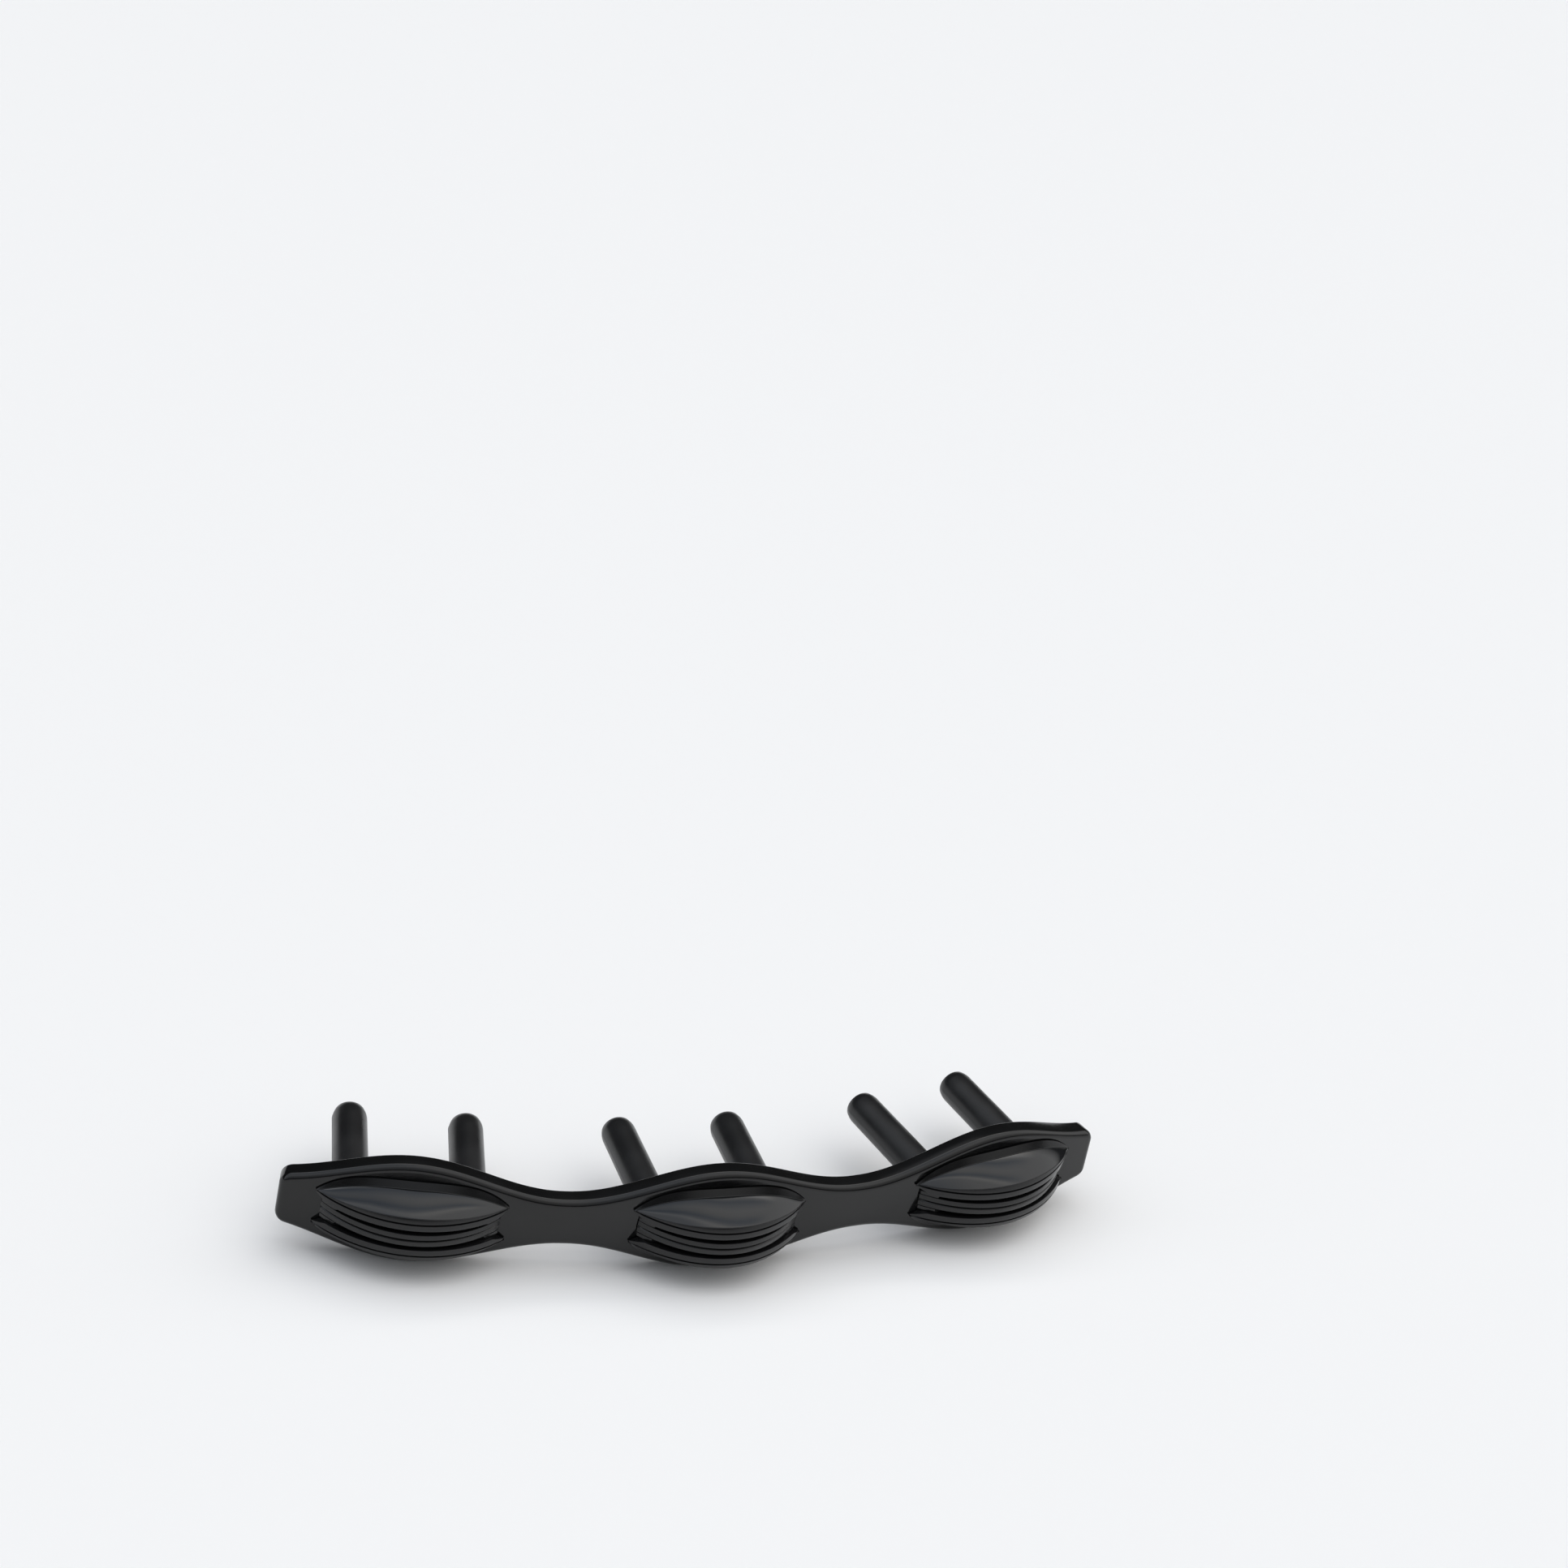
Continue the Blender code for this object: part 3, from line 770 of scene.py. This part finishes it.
# ------------------------------------------------------------------ string barrels and saddles
def barrel_profile():
    """(radius, height, marked) of a flanged sleeve, from its mouth over the outside into the bore."""
    bottom = FLANGE_TOP - FLANGE_T
    tip = BARREL_END
    chamfer, step = FLANGE_CHAMFER
    neck = bottom - step
    thin = BARREL_R - DRAFT
    shoulder = tip + 0.9
    edge = arc_points(FLANGE_R - FLANGE_EDGE, FLANGE_TOP - FLANGE_EDGE, FLANGE_EDGE, 90, 0, 4)[1:]
    mouth = arc_points(BORE_R + MOUTH_R, FLANGE_TOP - MOUTH_R, MOUTH_R, 180, 90, 6)[1:-1]
    flange = [(BORE_R + MOUTH_R, FLANGE_TOP), (FLANGE_R - FLANGE_EDGE, FLANGE_TOP)] + edge
    flange += [(FLANGE_R, bottom + step), (FLANGE_R - chamfer, bottom), (BARREL_R + chamfer, bottom)]
    tube = [(BARREL_R + (thin - BARREL_R) * f, neck + (shoulder - neck) * f)
            for f in (0.0, 0.15, 0.3, 0.45, 0.6, 0.75, 0.9, 1.0)]
    tube.append((thin - 0.05, tip + 0.55))
    end = [(thin - 0.17, tip + 0.12), (thin - 0.26, tip), (BORE_R + 0.14, tip), (BORE_R + 0.05, tip + 0.06)]
    bore = [(BORE_R, h) for h in (tip + 0.22, -9.0, -4.0, FLANGE_TOP - 0.50)] + mouth
    return ([(r, h, False) for r, h in flange] + [(r, h, True) for r, h in tube]
            + [(r, h, False) for r, h in end + bore])


def make_barrel(number, pod, u):
    name = f"string_barrel_sleeve_{number}"
    barrel = turned(name, barrel_profile(), BARREL_MAT, stand(pod, u), BARREL_SEAM)
    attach(barrel, "carrier")
    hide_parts(f"string_barrel_{number}")


def saddle_path():
    """(u, h) over a saddle from one foot to the other."""
    low, high = SADDLE_H
    centre = high - SADDLE_R
    turn = SADDLE_U - SADDLE_R
    left = [(-SADDLE_U, low + 0.04), (-SADDLE_U, centre)] + arc_points(-turn, centre, SADDLE_R, 171, 90, 9)
    crown = [(-turn + 2 * turn * f, high) for f in (0.2, 0.4, 0.6, 0.8)]
    return left + crown + [(-u, h) for u, h in reversed(left)]


def make_saddle(pod):
    """Half-round bar with a shallow string groove along its crown."""
    start = SADDLE_H[1] - SADDLE_R
    rings = []
    for i in range(SADDLE_ROWS):
        z = -SADDLE_Z + 2 * SADDLE_Z * i / (SADDLE_ROWS - 1)
        edge = max(abs(z) - (SADDLE_Z - SADDLE_EDGE), 0.0) / SADDLE_EDGE
        shrink = SADDLE_EDGE * (1 - math.sqrt(max(1 - edge * edge, 0.0)))
        groove = GROOVE_D * max(1 - (z / GROOVE_Z) ** 2, 0.0)
        ring = []
        for u, h in saddle_path():
            share = max(0.0, min(1.0, (h - start) / SADDLE_R))
            narrow = math.copysign(shrink + groove * share * (1 - share), u)
            ring.append((u - narrow, -(h - (groove + shrink) * share), z))
        rings.append(ring)
    saddle = from_rings(f"string_saddle_bar_{pod}", rings, SADDLE_MAT, POD_FRAMES[pod], sharp=50.0)
    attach(saddle, "carrier")
    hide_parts(f"string_saddle_{pod}")


strip = make_strip()
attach(strip, "carrier")
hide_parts("carrier_strip")
number = 0
for pod, s, half, height in PODS:
    for side in ("upper", "lower"):
        make_cap(pod, side, half, height)
        make_lens(pod, side, half, height)
    make_lamella(pod, half, height)
    make_saddle(pod)
    for u in (-BARREL_U, BARREL_U):
        number += 1
        make_barrel(number, pod, u)


# ------------------------------------------------------------------ floor and light
FLOOR_GAP = 0.00002  # sizes and places here are in metres
FLOOR_SIZE = 3.0
FLOOR_COLOUR = (0.915, 0.906, 0.893, 1.0)
LAMP_AT = (0.35, -0.60, 2.20)
LAMP_SIZE = 3.0
LAMP_POWER = 12.5  # watts
ASIDE = (0.46, 0.68)  # how far to the right the banded dome gives way to the calm one
LEFT_TINT = (0.44, (0.74, 0.78, 0.84, 1.0))  # place and colour of the dimmer left-hand side
RIGHT_TINT = (0.62, (1.0, 1.0, 1.0, 1.0))


def make_floor():
    """A plain flat floor just under the object."""
    z = cad_box[0][2] - FLOOR_GAP
    bm = bmesh.new()
    bmesh.ops.create_grid(bm, x_segments=2, y_segments=2, size=FLOOR_SIZE)
    bmesh.ops.translate(bm, verts=bm.verts, vec=Vector((0.0, 0.0, z)))
    mesh = bpy.data.meshes.new("floor")
    bm.to_mesh(mesh)
    bm.free()
    mat = bpy.data.materials.new("floor_paper")
    mat.use_nodes = True
    shader = mat.node_tree.nodes["Principled BSDF"]
    shader.inputs["Base Color"].default_value = FLOOR_COLOUR
    shader.inputs["Roughness"].default_value = 0.9
    shader.inputs["Specular IOR Level"].default_value = 0.1
    mesh.materials.append(mat)
    floor = bpy.data.objects.new("floor", mesh)
    bpy.context.scene.collection.objects.link(floor)


def make_lamp():
    """One large soft lamp overhead that shiny surfaces don't mirror."""
    data = bpy.data.lights.new("top_soft", "AREA")
    data.shape = "SQUARE"
    data.size = LAMP_SIZE
    data.energy = LAMP_POWER
    lamp = bpy.data.objects.new("top_soft", data)
    bpy.context.scene.collection.objects.link(lamp)
    lamp.location = LAMP_AT
    lamp.rotation_euler = (-Vector(LAMP_AT)).to_track_quat("-Z", "Y").to_euler()
    lamp.visible_glossy = False


# the studio dome from the back horizon (0) over the top (90) to the front horizon (180):
# angle, brightness, blue tint
SKY = ((30, 0.03, 0.0), (46, 0.07, 0.1), (53, 0.60, 0.0), (58, 2.7, -0.08), (61.5, 2.7, 0.0),
       (63.5, 1.3, 0.0), (66.5, 0.90, 0.14), (70, 1.20, 0.06), (74, 1.42, 0.0), (78, 1.32, 0.0),
       (82.5, 0.98, 0.14), (85, 1.3, 0.05), (87.5, 2.0, -0.03), (92, 1.50, 0.0), (112, 1.40, 0.0),
       (128, 0.78, 0.0), (147, 0.62, 0.0), (157, 0.44, 0.0), (166, 0.05, 0.0))

# the calmer dome towards the right-hand side
CALM = ((38, 0.05, 0.0), (55, 1.25, 0.0), (100, 1.50, 0.0), (128, 0.78, 0.0), (147, 0.62, 0.0),
        (157, 0.44, 0.0), (166, 0.05, 0.0))


def dome_ramp(tree, bands):
    """A ramp through (angle, brightness, blue tint) bands, dark at both horizons."""
    ramp = node(tree, "ShaderNodeValToRGB")
    stops = ramp.color_ramp.elements
    for stop, place in zip(stops, (0.0, 1.0)):
        stop.position = place
        stop.color = (0.02, 0.02, 0.02, 1.0)
    for angle, level, blue in bands:
        stop = stops.new(angle / 180.0)
        stop.color = (level * (1 - blue), level * (1 - 0.4 * blue), level * (1 + 0.5 * blue), 1.0)
    return ramp


def make_dome():
    """A soft studio dome: bands over the left and middle, calmer towards the right."""
    world = bpy.data.worlds.new("studio")
    bpy.context.scene.world = world
    world.use_nodes = True
    tree = world.node_tree
    background = tree.nodes["Background"]
    background.inputs["Strength"].default_value = 1.0
    link = tree.links.new
    where = node(tree, "ShaderNodeTexCoord")
    split = node(tree, "ShaderNodeSeparateXYZ")
    link(where.outputs["Generated"], split.inputs["Vector"])

    turn = node(tree, "ShaderNodeMath", operation="ARCTAN2")
    link(split.outputs["Z"], turn.inputs[0])
    link(split.outputs["Y"], turn.inputs[1])
    share = node(tree, "ShaderNodeMath", operation="DIVIDE")
    share.inputs[1].default_value = math.pi
    link(turn.outputs["Value"], share.inputs[0])
    banded = dome_ramp(tree, SKY)
    calm = dome_ramp(tree, CALM)
    link(share.outputs["Value"], banded.inputs["Fac"])
    link(share.outputs["Value"], calm.inputs["Fac"])

    aside = node(tree, "ShaderNodeMapRange", interpolation_type="SMOOTHSTEP")
    aside.inputs["From Min"].default_value = ASIDE[0]
    aside.inputs["From Max"].default_value = ASIDE[1]
    link(split.outputs["X"], aside.inputs["Value"])
    sky = node(tree, "ShaderNodeMix", data_type="RGBA")
    link(aside.outputs["Result"], sky.inputs["Factor"])
    link(banded.outputs["Color"], sky.inputs["A"])
    link(calm.outputs["Color"], sky.inputs["B"])

    half = node(tree, "ShaderNodeMath", operation="MULTIPLY_ADD")
    half.inputs[1].default_value = 0.5
    half.inputs[2].default_value = 0.5
    link(split.outputs["X"], half.inputs[0])
    across = node(tree, "ShaderNodeValToRGB")
    for stop, (place, colour) in zip(across.color_ramp.elements, (LEFT_TINT, RIGHT_TINT)):
        stop.position = place
        stop.color = colour
    link(half.outputs["Value"], across.inputs["Fac"])
    both = node(tree, "ShaderNodeMix", data_type="RGBA", blend_type="MULTIPLY")
    both.inputs["Factor"].default_value = 1.0
    link(sky.outputs["Result"], both.inputs["A"])
    link(across.outputs["Color"], both.inputs["B"])
    link(both.outputs["Result"], background.inputs["Color"])


make_floor()
make_dome()
make_lamp()
bpy.context.scene.view_settings.view_transform = "Standard"
